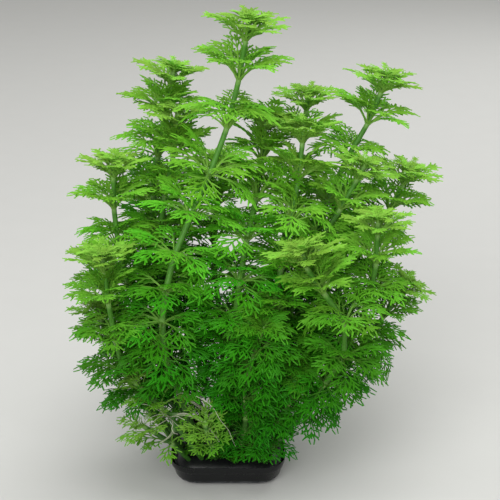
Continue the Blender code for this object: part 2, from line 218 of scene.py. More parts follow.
def makeStem(name, bm, whorls):
    threads = {vert for vert in bm.verts
               if min(edge.calc_length() for edge in vert.link_edges) < sprigReading["threadSide"]}
    threads |= {vert for vert in bm.verts if neighbours([vert]) <= threads}
    bm.normal_update()
    for vert in bm.verts:
        if vert not in threads:
            vert.co += vert.normal * stemLook["fatten"]
    root = [float(vert in threads) for vert in bm.verts]
    mesh = bpy.data.meshes.new(name)
    bm.to_mesh(mesh)
    bm.free()
    pointValues(mesh, "root", root)
    stem = newObject(name, mesh)
    selectOnly(stem)
    bpy.ops.object.mode_set(mode="EDIT")
    bpy.ops.mesh.select_all(action="SELECT")
    bpy.ops.mesh.tris_convert_to_quads(face_threshold=stemLook["convertBelow"],
                                       shape_threshold=stemLook["convertBelow"])
    finishEditing()
    rounding = stem.modifiers.new("rounding", "SUBSURF")
    rounding.levels = rounding.render_levels = stemLook["rounding"]
    bpy.ops.object.modifier_apply(modifier="rounding")
    bpy.ops.object.shade_smooth()
    centres = [whorl["centre"] for whorl in whorls]
    near = [min((vert.co - centre).length for centre in centres) for vert in stem.data.vertices]
    pointValues(stem.data, "node", [max(0, 1 - distance / stemLook["nodeReach"]) for distance in near])
    return stem


# Blades: three-sided strips along +X with the ridge up, from which every leaf is put together.
# Each station is its place along the blade, its half width and its ridge's height

bladeShapes = {
    "lobe": [(0.0, 0.80, 0.85), (1.0, 0.62, 0.6)],
    "branch": [(0.0, 1.0, 1.0), (0.55, 0.80, 0.9), (1.0, 0.35, 0.4)],
    "stalk": [(0.0, 1.25, 1.5), (0.12, 0.80, 1.2), (0.40, 0.80, 1.1), (0.72, 0.60, 0.8), (1.0, 0.3, 0.4)],
}
stationTouch = 1e-4  # a vert this close to a station belongs to it

def makeBlade(name):
    stations = bladeShapes[name]
    first = stations[1][0]
    bpy.ops.mesh.primitive_cylinder_add(vertices=3, radius=1, depth=first, location=(first / 2, 0, 0),
                                        rotation=(math.pi / 2, 0, math.pi / 2))
    blade = bpy.context.object
    bpy.ops.object.transform_apply()
    # The triangle's flat side goes down to z = 0, its lower corners out to 1 and its ridge up to 1
    flat = Matrix.Diagonal((1, 2 / math.sqrt(3), 2 / 3, 1)) @ Matrix.Translation((0, 0, 0.5))
    blade.data.transform(flat)
    bpy.ops.object.mode_set(mode="EDIT")
    bm = bmesh.from_edit_mesh(blade.data)
    for at, half, height in stations[:2]:
        for vert in bm.verts:
            if abs(vert.co.x - at) < stationTouch:
                vert.co.y *= half
                vert.co.z *= height
    for (x, half, height), (nextX, nextHalf, nextHeight) in zip(stations[1:], stations[2:]):
        selectParts(blade, "faces",
                    lambda face: all(abs(vert.co.x - x) < stationTouch for vert in face.verts))
        bpy.ops.mesh.extrude_region_move(TRANSFORM_OT_translate={"value": (nextX - x, 0, 0)})
        bm = bmesh.from_edit_mesh(blade.data)
        for vert in bm.verts:
            if vert.select:
                vert.co.y *= nextHalf / half
                vert.co.z *= nextHeight / height
    bmesh.update_edit_mesh(blade.data)
    finishEditing()
    return takenShape(blade)


# Leaves: a bare stalk, then pairs of branches set with lobes. Lengths are shares of the leaf's length,
# angles are degrees, and of two numbers together the first is for the lowest pair, the second for the last

leafKinds = {
    "bud": {"stalk": 0.14, "last": 0.74, "lobes": [2, 2, 1], "branch": (0.44, 0.28), "angle": (34, 18),
            "lobe": 0.24, "width": 0.120, "rib": 0.095, "thick": 0.05, "cup": -0.2, "curl": 10,
            "jitter": 6, "models": 3},
    "young": {"stalk": 0.15, "last": 0.78, "lobes": [3, 4, 3, 3], "branch": (0.40, 0.26), "angle": (34, 20),
              "lobe": 0.165, "width": 0.062, "rib": 0.046, "thick": 0.026, "cup": 0.3, "curl": 14,
              "jitter": 5, "models": 4},
    "second": {"stalk": 0.30, "last": 0.80, "lobes": [5, 5, 3, 2], "branch": (0.46, 0.24), "angle": (40, 22),
               "lobe": 0.160, "width": 0.052, "rib": 0.038, "thick": 0.024, "cup": 0.3, "curl": 18,
               "jitter": 4, "models": 4},
    "grown": {"stalk": 0.31, "last": 0.80, "lobes": [5, 5, 3, 2], "branch": (0.50, 0.24), "angle": (48, 27),
              "lobe": 0.180, "width": 0.048, "rib": 0.034, "thick": 0.022, "cup": 0.45, "curl": 22,
              "jitter": 4, "models": 5},
    "old": {"stalk": 0.34, "last": 0.80, "lobes": [4, 4, 3, 2], "branch": (0.50, 0.24), "angle": (50, 29),
            "lobe": 0.190, "width": 0.050, "rib": 0.034, "thick": 0.022, "cup": 0.7, "curl": 26,
            "jitter": 5, "models": 5},
    "sparse": {"stalk": 0.42, "last": 0.80, "lobes": [3, 3, 2], "branch": (0.44, 0.24), "angle": (50, 28),
               "lobe": 0.190, "width": 0.062, "rib": 0.044, "thick": 0.026, "cup": 0.4, "curl": 20,
               "jitter": 5, "models": 4},
}
leafParts = {
    "seed": 11,
    "stalk": (0.90, 0.62, 1.2),  # its length, and its half width and thickness against the rib's
    "pairCrowd": 0.9,  # below 1, the lower pairs stand further apart
    "pairWobble": 0.012,
    "angleWobble": 4,
    "branchLengths": (0.92, 1.06),
    "branchCurls": (0.6, 1.4),
    "branchSlope": 0.10,
    "lobePlaces": (0.30, 0.86),  # first and last lobe, as shares of the branch
    "lobeAngles": (46, 30),
    "lobeShares": (1.05, 0.72),
    "lobeLengths": (0.88, 1.12),
    "lobeCurl": 0.35,
    "lobeSlope": 0.15,
    "tipPlace": 0.84,  # where the last three lobes stand, and how
    "tipAngles": (-26, 0, 26),
    "tipWobble": 5,
    "tipLength": 0.155,
    "tipLengths": (0.9, 1),
}

class LeafModel:
    # One leaf lying along +X, a metre long, made of bent blades
    def __init__(self, kind, chance):
        self.look = leafKinds[kind]
        self.chance = chance
        self.points, self.faces, self.count = [], [], 0
        self.build()
        self.points = np.concatenate(self.points)
        x, y = self.points[:, 0], self.points[:, 1]
        self.points[:, 2] -= self.look["cup"] * y ** 2
        self.run = np.clip(x, 0, 1)
        self.half = 0.5 * (y.max() - y.min())

    def add(self, blade, start, heading, length, half, thick, curl=0.0, slope=0.0):
        # A blade from start along heading, which turns by curl on its way
        points, faces = blades[blade]
        share = points[:, 0]
        mean = heading + curl * share / 2
        turned = heading + curl * share
        out = points[:, 1] * half
        placed = np.stack([start[0] + np.cos(mean) * share * length - np.sin(turned) * out,
                           start[1] + np.sin(mean) * share * length + np.cos(turned) * out,
                           start[2] + slope * share * length + points[:, 2] * thick], axis=1)
        self.points.append(placed)
        self.faces += [[corner + self.count for corner in face] for face in faces]
        self.count += len(points)

    def build(self):
        look, chance, parts = self.look, self.chance, leafParts
        length, wide, deep = parts["stalk"]
        self.add("stalk", (0, 0, 0), 0, length, look["rib"] * wide, look["thick"] * deep)
        pairs = len(look["lobes"])
        for pair, lobes in enumerate(look["lobes"]):
            share = pair / (pairs - 1)
            for side in (-1, 1):
                at = mix(look["stalk"], look["last"], share ** parts["pairCrowd"])
                at += wobble(chance, parts["pairWobble"])
                angle = mix(*look["angle"], share) + wobble(chance, parts["angleWobble"])
                length = mix(*look["branch"], share) * chance.uniform(*parts["branchLengths"])
                self.branch((at, 0, 0), side * math.radians(angle), length, lobes, side)
        for angle in parts["tipAngles"]:
            heading = math.radians(angle + wobble(chance, parts["tipWobble"]))
            length = parts["tipLength"] * chance.uniform(*parts["tipLengths"])
            self.add("lobe", (parts["tipPlace"], 0, 0), heading, length, look["width"] * 0.5, look["thick"])

    def branch(self, start, heading, length, lobes, side):
        look, chance, parts = self.look, self.chance, leafParts
        curl = -side * math.radians(look["curl"] * chance.uniform(*parts["branchCurls"]))
        slope = wobble(chance, parts["branchSlope"])
        self.add("branch", start, heading, length, look["rib"] * 0.5, look["thick"], curl, slope)
        for number in range(lobes):
            along = mix(*parts["lobePlaces"], number / max(1, lobes - 1))
            mean = heading + curl * along / 2
            place = (start[0] + math.cos(mean) * along * length, start[1] + math.sin(mean) * along * length,
                     start[2] + slope * along * length)
            flank = side if number % 2 == 0 else -side
            turn = mix(*parts["lobeAngles"], along) + chance.uniform(-1, 1) * look["jitter"]
            turn = flank * math.radians(turn)
            reach = look["lobe"] * mix(*parts["lobeShares"], along) * chance.uniform(*parts["lobeLengths"])
            self.add("lobe", place, heading + curl * along + turn, reach, look["width"] * 0.5,
                     look["thick"], -turn * parts["lobeCurl"], wobble(chance, parts["lobeSlope"]))

broadAt = 0.6  # where along a leaf its broadest part lies

def laidLeaf(model, leaf, widen=1.0):
    # The model's points, bent through the leaf's base, its broadest part and its end
    base, broad, end = (np.array(leaf[key]) for key in ("base", "broad", "end"))
    control = (broad - (1 - broadAt) ** 2 * base - broadAt ** 2 * end) / (2 * broadAt * (1 - broadAt))
    share = np.clip(model.points[:, 0:1], 0, 1)
    spine = (1 - share) ** 2 * base + 2 * share * (1 - share) * control + share ** 2 * end
    along = 2 * (1 - share) * (control - base) + 2 * share * (end - control)
    along /= np.linalg.norm(along, axis=1, keepdims=True)
    side = np.array(leaf["side"])
    up = np.cross(along, side)
    up /= np.linalg.norm(up, axis=1, keepdims=True)
    length = np.linalg.norm(broad - base) + np.linalg.norm(end - broad)
    beyond = (model.points[:, 0:1] - share) * length
    return (spine + along * beyond + side * model.points[:, 1:2] * length * widen
            + up * model.points[:, 2:3] * length)

def leafValues(obj, ages, runs, tones, shade):
    # What the leaf material reads: age, place along the leaf, tint, and how much painted shade the bush lays
    # on it low down
    for name, values in (("age", ages), ("run", runs), ("tone", tones)):
        pointValues(obj.data, name, np.concatenate(values))
    pointValues(obj.data, "shade", np.full(len(obj.data.vertices), shade))


# Foliage: each whorl's own leaves, others that stand between them, steep ones that stand inside,
# and the crown at the growing tip. A whorl's age is its number from the tip down

foliageLook = {
    # The solid's own leaves
    "archShare": 0.13,  # arch of a leaf that is straight in the solid
    "droopByAge": [-2, -3, -8, 2, 6],  # degrees that the outer part hangs below the solid's
    "straightByAge": [0.60, 0.45, 0.2, 0],  # share of the solid's arch that a leaf loses
    "budScale": 0.82,
    "budRise": -10,
    "shortest": 0.86,  # share of the whorl's longest leaf that the others reach
    "footScale": 0.80,  # length share low down, up to full length higher up
    "foot": (30 * mm, 75 * mm),
    # The leaves between them
    "between": (0.88, 1.02),  # length share
    "fuller": {"inner": 1.18, "slender": 1.18, "centre": 1.06, "rear_centre": 1.2},  # times this
    "turnWobble": 7,
    "lift": [24, -18, 14, -26, 18],  # degrees that they stand above or below, times liftByAge
    "liftByAge": [0, 0, 0, 0.8, 1.0],
    "thickLift": {2: 0.7},  # the same at these ages of the thick sprigs
    "liftYoung": [(-14, -4), (-3, 7), (0, 12)],  # degrees added at the first ages
    "liftLater": (-5, 5),
    # The steep ones
    "steepAges": range(2, 9),
    "steep": 2,  # how many a whorl has
    "thick": {"inner": 5, "back_left": 5, "slender": 4, "rear_centre": 5},  # sprigs with more of them
    "steepScale": 0.90,
    "steepTurn": (18, 9),  # degrees and wobble
    "steepRise": (32, 8),
    # Sprigs that differ
    "lowWhorls": ("slender", "back_left", "left_tall", "rear_low", "inner", "right_upper"),
    "lowWhorlDrop": 14 * mm,  # how far down the stem those carry one more whorl
    "hiddenTops": {"front_low": 3, "low_right": 3},  # no bright crown: the age they start at
    "openFront": ("front_low",),  # leaves that point to the front are turned aside
    "openAngle": 42,
    "youth": {"tall_front": 0.76, "back_left": 0.85, "slender": 0.85, "back_centre": 0.76,
              "centre": 0.86, "right_tall": 0.88},  # share of its age that shows in its colour
    "crownTurn": (20, 10),  # degrees and wobble
    "widen": 1.15,  # a leaf's width against the solid's, before widths' limits
    "ageShare": [0.0, 0.16, 0.34, 0.48, 0.62, 0.74, 0.84, 0.92, 1.0],
    "ageWobble": 0.06,
    "sharpAbove": math.radians(60),
}
bushLook = {
    "kinds": ["young", "young", "second", "grown", "grown", "old"],  # by age
    "apart": 36,  # degrees from one leaf to the next
    "widths": (1.12, 1.4),
    # Rings over the bud: leaves, length share, added rise, kind of leaf
    "crown": [(5, 1.30, -32, "young"), (5, 1.00, -18, "young"), (4, 0.62, -4, "bud")],
    # Painted shade: the share of the dark green that the bush's leaves take low down
    "shade": 1.0,  # how far the bush darkens its leaves low down
}
shootLook = {
    "names": ("front_shoot", "left_shoot", "rooted", "rear_shoot", "rear_side"),
    "kinds": ["second", "sparse", "sparse"],
    "apart": 52,
    "widths": (0.80, 1.05),
    "crown": [(4, 0.50, 0, "bud")],
    # Painted shade: the shoots take only part of the dark green low down
    "shade": 0.55,
}
rimLook = {"height": 17 * mm, "reach": 26 * mm, "slope": 0.42, "riseStep": 6, "steepest": 40}

def byAge(values, age):
    return values[min(age, len(values) - 1)]

def fullLeaf(leaf, whorl, age):
    # Orients a leaf that was read from the solid, gives a straight one its arch and lets its end hang
    leaf = dict(leaf)
    run = leaf["end"] - leaf["base"]
    up = run.cross(leaf["side"])
    if up.dot(whorl["axis"]) < 0:
        leaf["side"] = -leaf["side"]
        up = -up
    level = leaf["base"] + run * broadAt
    if leaf["broad"] is None:
        leaf["broad"] = level + up.normalized() * run.length * foliageLook["archShare"]
    else:
        leaf["broad"] = leaf["broad"].lerp(level, byAge(foliageLook["straightByAge"], age))
        hang = Matrix.Rotation(math.radians(byAge(foliageLook["droopByAge"], age)), 3, leaf["side"])
        leaf["end"] = leaf["broad"] + hang @ (leaf["end"] - leaf["broad"])
    leaf["length"] = (leaf["broad"] - leaf["base"]).length + (leaf["end"] - leaf["broad"]).length
    return leaf

def lowestAt(point):
    # No leaf's end hangs below this level, which rises outside the pot, so its rim stays in sight
    out = max(abs(point.x), abs(point.y)) - rimLook["reach"]
    return rimLook["height"] + max(0, out) * rimLook["slope"]

def turnedLeaf(leaf, whorl, turn, scale, rise):
    # A copy turned about the stem, scaled from its base and lifted by rise degrees
    about = Matrix.Rotation(math.radians(turn), 3, whorl["axis"])
    base = whorl["centre"] + about @ (leaf["base"] - whorl["centre"])
    side = (about @ leaf["side"]).normalized()
    while True:
        lift = Matrix.Rotation(math.radians(-rise), 3, side)
        placed = {key: base + lift @ (about @ (leaf[key] - leaf["base"])) * scale for key in ("broad", "end")}
        if placed["end"].z > lowestAt(placed["end"]) or rise > rimLook["steepest"]:
            return {**leaf, **placed, "base": base, "side": side, "length": leaf["length"] * scale}
        rise += rimLook["riseStep"]

def allRound(leaves, whorl):
    # The leaves in their order about the stem, each with the angle to the next one
    first = whorl["axis"].cross(Vector((0, 1, 0))).normalized()
    second = whorl["axis"].cross(first)

    def bearing(leaf):
        out = leaf["end"] - whorl["centre"]
        return math.degrees(math.atan2(out.dot(second), out.dot(first))) % 360

    ordered = sorted(leaves, key=bearing)
    nexts = ordered[1:] + ordered[:1]
    return [(leaf, (bearing(after) - bearing(leaf)) % 360 or 360) for leaf, after in zip(ordered, nexts)]

def loweredWhorl(whorl):
    # One more whorl on the bare stem, below the last that the solid has
    down = (whorl["foot"] - whorl["centre"]).normalized() * foliageLook["lowWhorlDrop"]
    leaves = [{**leaf, **{key: leaf[key] + down for key in ("base", "end", "broad") if leaf[key] is not None}}
              for leaf in whorl["leaves"]]
    return {**whorl, "leaves": leaves, "centre": whorl["centre"] + down}

def turnedAside(leaf):
    # The leaf, or a copy swung clear of the side that faces the front, where the stem shows
    out = leaf["end"] - leaf["base"]
    off = math.degrees(math.atan2(out.x, -out.y))
    if abs(off) >= foliageLook["openAngle"]:
        return leaf
    swing = Matrix.Rotation(math.radians(math.copysign(foliageLook["openAngle"], off) - off), 3, "Z")
    turned = {key: leaf["base"] + swing @ (leaf[key] - leaf["base"]) for key in ("broad", "end")}
    return {**leaf, **turned, "side": swing @ leaf["side"]}

def makeFoliage(name, whorls, chance):
    look, sprig = foliageLook, name.replace("foliage_", "")
    shoot = sprig in shootLook["names"]
    kindLook = shootLook if shoot else bushLook
    firstAge = look["hiddenTops"].get(sprig, 0)
    copies, ages, runs, tones = [], [], [], []

    def put(leaf, kind, age):
        if sprig in look["openFront"]:
            leaf = turnedAside(leaf)
        model = chance.choice(leafModels[kind])
        widen = leaf["width"] / leaf["length"] / (2 * model.half)
        least, most = kindLook["widths"]
        placed = laidLeaf(model, leaf, min(most, max(least, widen * look["widen"])))
        copies.append((placed, model.faces))
        ages.append(np.full(len(placed), clamped(age + wobble(chance, look["ageWobble"]))))
        tones.append(np.full(len(placed), chance.random()))
        runs.append(model.run)

    if sprig in look["lowWhorls"]:
        whorls = whorls + [loweredWhorl(whorls[-1])]
    for number, whorl in enumerate(whorls):
        age = number + firstAge
        kind = byAge(kindLook["kinds"], age)
        share = byAge(look["ageShare"], age) * look["youth"].get(sprig, 1)
        own = allRound([fullLeaf(leaf, whorl, age) for leaf in whorl["leaves"]], whorl)
        low, high = look["foot"]
        height = clamped((whorl["centre"].z - low) / (high - low))
        longest = max(leaf["length"] for leaf, _ in own) * mix(look["footScale"], 1, height)
        for leaf, _ in own:
            if number:
                full = longest / leaf["length"]
                put(turnedLeaf(leaf, whorl, 0, min(full, max(1, look["shortest"] * full)), 0), kind, share)
            else:
                put(turnedLeaf(leaf, whorl, 0, look["budScale"], look["budRise"]), kind, share)
        # Leaves between those five
        spread = byAge(look["liftByAge"], age)
        if sprig in look["thick"]:
            spread = look["thickLift"].get(age, spread)
        young = look["liftYoung"]
        for leaf, gap in own:
            between = max(0, round(gap / kindLook["apart"]) - 1)
            for step in range(between):
                lift = chance.choice(look["lift"]) * spread
                added = young[age] if age < len(young) else look["liftLater"]
                lift += chance.uniform(*added)
                turn = gap * (step + 1) / (between + 1) + wobble(chance, look["turnWobble"])
                scale = longest / leaf["length"] * chance.uniform(*look["between"])
                scale *= look["fuller"].get(sprig, 1)
                put(turnedLeaf(leaf, whorl, turn, scale, lift), kind, share)
        # Steep leaves inside the whorl
        if age in look["steepAges"] and not shoot:
            steep = look["thick"].get(sprig, look["steep"])
            turnMean, turnWobble = look["steepTurn"]
            riseMean, riseWobble = look["steepRise"]
            for leaf, _ in chance.sample(own, min(steep, len(own))):
                turn = turnMean + wobble(chance, turnWobble)
                rise = riseMean + wobble(chance, riseWobble)
                scale = look["steepScale"] * longest / leaf["length"]
                put(turnedLeaf(leaf, whorl, turn, scale, rise), kind, share)
        if number == 0:
            turnMean, turnWobble = look["crownTurn"]
            for leaves, scale, rise, ringKind in kindLook["crown"]:
                for step in range(leaves):
                    turn = 360 * step / leaves + turnMean + wobble(chance, turnWobble)
                    ring = turnedLeaf(own[0][0], whorl, turn, scale, rise)
                    put(ring, kind if firstAge else ringKind, share)
    foliage = joinedCopies(name, copies)
    # Each leaf gets its sprig's share of the painted shade
    leafValues(foliage, ages, runs, tones, kindLook["shade"])
    selectOnly(foliage)
    bpy.ops.object.shade_smooth_by_angle(angle=look["sharpAbove"])
    return foliage


# Materials: what they share

def addNode(tree, kind, **settings):
    node = tree.nodes.new("ShaderNode" + kind)
    for key, value in settings.items():
        setattr(node, key, value)
    return node

def feed(tree, value, socket):
    # Links another node's socket, or sets a colour or a number
    if isinstance(value, bpy.types.NodeSocket):
        tree.links.new(value, socket)
    else:
        socket.default_value = (*value, 1) if isinstance(value, tuple) else value

def attributeOf(tree, name):
    return addNode(tree, "Attribute", attribute_name=name).outputs["Fac"]

def placeOn(tree):
    return addNode(tree, "TexCoord").outputs["Object"]

def rangeOf(tree, value, bounds):
    # Spreads a value from 0 to 1 over the bounds
    node = addNode(tree, "MapRange")
    node.inputs["To Min"].default_value, node.inputs["To Max"].default_value = bounds
    feed(tree, value, node.inputs["Value"])
    return node.outputs["Result"]

def mathOf(tree, operation, *values):
    node = addNode(tree, "Math", operation=operation)
    for value, socket in zip(values, node.inputs):
        feed(tree, value, socket)
    return node.outputs[0]

def colourMix(tree, factor, first, second, **settings):
    node = addNode(tree, "Mix", data_type="RGBA", **settings)
    feed(tree, factor, node.inputs[0])
    feed(tree, first, node.inputs[6])
    feed(tree, second, node.inputs[7])
    return node.outputs[2]

def ramp(tree, factor, stops):
    # Each stop is a place with its colour, or with a number for a grey
    node = addNode(tree, "ValToRGB")
    elements = node.color_ramp.elements
    while len(elements) < len(stops):
        elements.new(0.5)
    for element, (place, colour) in zip(elements, stops):
        element.position = place
        element.color = (*colour, 1) if isinstance(colour, tuple) else (colour, colour, colour, 1)
    feed(tree, factor, node.inputs["Fac"])
    return node.outputs["Color"]

def addBump(tree, shader, height, distance):
    bump = addNode(tree, "Bump")
    bump.inputs["Distance"].default_value = distance
    feed(tree, height, bump.inputs["Height"])
    feed(tree, bump.outputs["Normal"], shader.inputs["Normal"])

def newGroup(name, inputs, outputs):
    # A node group, with the values of its inputs and the kinds of its outputs
    tree = bpy.data.node_groups.new(name, "ShaderNodeTree")
    for label, value in inputs.items():
        kind = "NodeSocketColor" if isinstance(value, tuple) else "NodeSocketFloat"
        tree.interface.new_socket(label, in_out="INPUT", socket_type=kind).default_value = value
    for label, kind in outputs.items():
        tree.interface.new_socket(label, in_out="OUTPUT", socket_type="NodeSocket" + kind)
    return tree, tree.nodes.new("NodeGroupInput"), tree.nodes.new("NodeGroupOutput")

mottleLook = {"Color": (1, 1, 1, 1), "Scale": 300.0, "Strength": 0.3}
mottleDetail = 3
# Heights in metres between which the painted shade of the bush fades out
paintedShadeLevels = {"Low": 0.02, "High": 0.13}

def mottleGroup():
    # Soft patches of lighter and darker colour, and a fine height for a bump
    tree, source, result = newGroup("mottle", mottleLook, {"Color": "Color", "Height": "Float"})
    patches = addNode(tree, "TexNoise")
    patches.inputs["Detail"].default_value = mottleDetail
    feed(tree, placeOn(tree), patches.inputs["Vector"])
    feed(tree, source.outputs["Scale"], patches.inputs["Scale"])
    centred = mathOf(tree, "SUBTRACT", patches.outputs["Fac"], 0.5)
    swing = mathOf(tree, "MULTIPLY_ADD", centred, source.outputs["Strength"], 1.0)
    tinted = addNode(tree, "VectorMath", operation="SCALE")
    feed(tree, source.outputs["Color"], tinted.inputs[0])
    feed(tree, swing, tinted.inputs["Scale"])
    feed(tree, tinted.outputs[0], result.inputs["Color"])
    feed(tree, patches.outputs["Fac"], result.inputs["Height"])
    return tree

def paintedShadeGroup():
    # Painted shade: how far down in the bush a point lies, 1 below the low level, 0 above the high one; leaf
    # and stem colours are darkened by it
    tree, source, result = newGroup("depthInBush", paintedShadeLevels, {"Mask": "Float"})
    split = addNode(tree, "SeparateXYZ")
    feed(tree, placeOn(tree), split.inputs[0])
    level = addNode(tree, "MapRange", interpolation_type="SMOOTHSTEP")
    level.inputs["To Min"].default_value = 1
    level.inputs["To Max"].default_value = 0
    feed(tree, split.outputs["Z"], level.inputs["Value"])
    feed(tree, source.outputs["Low"], level.inputs["From Min"])
    feed(tree, source.outputs["High"], level.inputs["From Max"])
    feed(tree, level.outputs["Result"], result.inputs["Mask"])
    return tree

def groupNode(tree, group, **values):
    node = addNode(tree, "Group", node_tree=group)
    for key, value in values.items():
        feed(tree, value, node.inputs[key])
    return node

def newMaterial(name, look):
    material = bpy.data.materials.new(name)
    material.use_nodes = True
    shader = material.node_tree.nodes["Principled BSDF"]
    for key, socket in (("roughness", "Roughness"), ("specular", "Specular IOR Level")):
        if key in look:
            shader.inputs[socket].default_value = look[key]
    return material, material.node_tree, shader

def mottledBase(tree, shader, colour, look):
    # The colour with its patches as the shader's base colour. Returns the patches' node
    patches = groupNode(tree, mottle, Color=colour, **look["mottle"])
    feed(tree, patches.outputs["Color"], shader.inputs["Base Color"])
    return patches


# Materials: leaf, stem, root, pot and gravel

leafFinish = {
    "roughness": 0.5,
    "specular": 0.12,
    "byAge": [(0.0, (0.34, 0.70, 0.085)), (0.2, (0.27, 0.60, 0.060)), (0.45, (0.210, 0.63, 0.038)),
              (0.75, (0.075, 0.50, 0.014)), (1.0, (0.036, 0.35, 0.007))],
    "hue": (0.490, 0.502),  # from the yellowest leaf to the bluest
    "value": (0.88, 1.12),
    "stalk": (0.36, 0.62, 0.12),
    "stalkShares": [(0.0, 0.85), (0.34, 0.55), (0.58, 0.0)],  # place along the leaf, share of that colour
    # Painted shade: low in the bush, between the two heights of levels, the leaf colour is mixed towards this
    # dark green, up to the share given
    "deep": (0.010, 0.160, 0.003),
    "deepShare": 0.66,
    "levels": {"Low": 0.05, "High": 0.15},
    "mottle": {"Scale": 420.0, "Strength": 0.55},
    "bump": 0.05 * mm,
    "through": 0.34,  # share of the light that shines through
}

def makeLeafMaterial():
    look = leafFinish
    material, tree, shader = newMaterial("ambulia leaf", look)
    tone = attributeOf(tree, "tone")
    # Some leaves are yellower, some bluer than their neighbours
    varied = addNode(tree, "HueSaturation")
    feed(tree, rangeOf(tree, tone, look["hue"]), varied.inputs["Hue"])
    feed(tree, rangeOf(tree, tone, look["value"]), varied.inputs["Value"])
    feed(tree, ramp(tree, attributeOf(tree, "age"), look["byAge"]), varied.inputs["Color"])
    stalkMask = ramp(tree, attributeOf(tree, "run"), look["stalkShares"])
    stalked = colourMix(tree, stalkMask, varied.outputs["Color"], look["stalk"])
    # Painted shade: leaves low in the bush are darkened towards the dark green, less so on the shoots
    depth = groupNode(tree, paintedShadeTree, **look["levels"])
    shaded = mathOf(tree, "MULTIPLY", depth.outputs["Mask"], attributeOf(tree, "shade"))
    paintedShadeMask = mathOf(tree, "MULTIPLY", shaded, look["deepShare"])
    shadePainted = colourMix(tree, paintedShadeMask, stalked, look["deep"])
    patches = mottledBase(tree, shader, shadePainted, look)
    addBump(tree, shader, patches.outputs["Height"], look["bump"])
    # Light that falls on a leaf's back shines through it
    through = addNode(tree, "BsdfTranslucent")
    feed(tree, patches.outputs["Color"], through.inputs["Color"])
    blend = addNode(tree, "MixShader")
    blend.inputs[0].default_value = look["through"]
    feed(tree, shader.outputs[0], blend.inputs[1])
    feed(tree, through.outputs[0], blend.inputs[2])
    feed(tree, blend.outputs[0], tree.nodes["Material Output"].inputs["Surface"])
    return material

stemFinish = {
    "roughness": 0.48,
    "specular": 0.25,
    "flesh": (0.080, 0.250, 0.028),
    "node": (0.26, 0.46, 0.12),
    "nodeShares": [(0.25, 0.0), (0.75, 0.9)],
    # Painted shade: low in the bush, between the two heights of levels, the stem colour is mixed towards this
    # dark green
    "deep": (0.030, 0.110, 0.012),
    "levels": {"Low": 0.01, "High": 0.09},
    "root": (0.38, 0.42, 0.28),
    "mottle": {"Scale": 250.0, "Strength": 0.5},
    "streaks": 1800,
    "stretch": (1, 1, 0.12),
    "streakShare": 0.5,
    "bump": 0.06 * mm,
}

def makeStemMaterial():
    look = stemFinish
    material, tree, shader = newMaterial("ambulia stem", look)
    # Painted shade: stems are darkened towards the dark green low in the bush
    depth = groupNode(tree, paintedShadeTree, **look["levels"])
    flesh = colourMix(tree, depth.outputs["Mask"], look["flesh"], look["deep"])
    jointMask = ramp(tree, attributeOf(tree, "node"), look["nodeShares"])
    jointed = colourMix(tree, jointMask, flesh, look["node"])
    rooted = colourMix(tree, attributeOf(tree, "root"), jointed, look["root"])
    # Fine streaks run up the stem
    stretch = addNode(tree, "Mapping")
    stretch.inputs["Scale"].default_value = look["stretch"]
    feed(tree, placeOn(tree), stretch.inputs["Vector"])
    streaks = addNode(tree, "TexNoise")
    streaks.inputs["Scale"].default_value = look["streaks"]
    feed(tree, stretch.outputs["Vector"], streaks.inputs["Vector"])
    patches = groupNode(tree, mottle, Color=rooted, **look["mottle"])
    streaked = colourMix(tree, look["streakShare"], patches.outputs["Color"], streaks.outputs["Fac"],
                         blend_type="SOFT_LIGHT")
    feed(tree, streaked, shader.inputs["Base Color"])
    addBump(tree, shader, streaks.outputs["Fac"], look["bump"])
    return material

rootFinish = {"roughness": 0.5, "colour": (0.50, 0.51, 0.39), "mottle": {"Scale": 500.0, "Strength": 0.5},
              "bump": 0.05 * mm}

def makeRootMaterial():
    look = rootFinish
    material, tree, shader = newMaterial("pale root", look)
    patches = mottledBase(tree, shader, look["colour"], look)
    addBump(tree, shader, patches.outputs["Height"], look["bump"])
    return material

potFinish = {
    "gloss": (0.18, 0.42),
    "specular": 0.3,
    "colour": (0.006, 0.0065, 0.007),
    "mottle": {"Scale": 160.0, "Strength": 0.4},
    "grain": 2500.0,
    "bump": 0.02 * mm,
}

def makePotMaterial():
    look = potFinish
    material, tree, shader = newMaterial("black pot plastic", look)
    patches = mottledBase(tree, shader, look["colour"], look)
    gloss = rangeOf(tree, patches.outputs["Height"], look["gloss"])
    feed(tree, gloss, shader.inputs["Roughness"])
    grain = groupNode(tree, mottle, Scale=look["grain"])
    addBump(tree, shader, grain.outputs["Height"], look["bump"])
    return material

gravelFinish = {
    "roughness": 0.55,
    "cells": 520,
    "stones": [(0.0, (0.010, 0.011, 0.013)), (0.6, (0.030, 0.033, 0.038)), (0.92, (0.060, 0.062, 0.066)),
               (1.0, (0.12, 0.12, 0.115))],
    "mottle": {"Scale": 1500.0, "Strength": 0.8},
    "bump": 0.15 * mm,
}

def makeGravelMaterial():
    look = gravelFinish
    material, tree, shader = newMaterial("dark gravel", look)
    cells = addNode(tree, "TexVoronoi")
    cells.inputs["Scale"].default_value = look["cells"]
    feed(tree, placeOn(tree), cells.inputs["Vector"])
    split = addNode(tree, "SeparateColor")
    feed(tree, cells.outputs["Color"], split.inputs[0])
    patches = mottledBase(tree, shader, ramp(tree, split.outputs[0], look["stones"]), look)
    addBump(tree, shader, patches.outputs["Height"], look["bump"])
    return material


# Pot: a thin square tray with round corners, a lip round its rim and softened edges

potLook = {"wall": 1.3 * mm, "floor": 1.5 * mm, "corner": 12 * mm, "cornerSteps": 10, "taper": 2.5 * mm,
           "lipDrop": 1.6 * mm, "lipOut": 0.7 * mm, "edge": 0.35 * mm, "edgeSteps": 3,
           "sharpAbove": math.radians(35)}

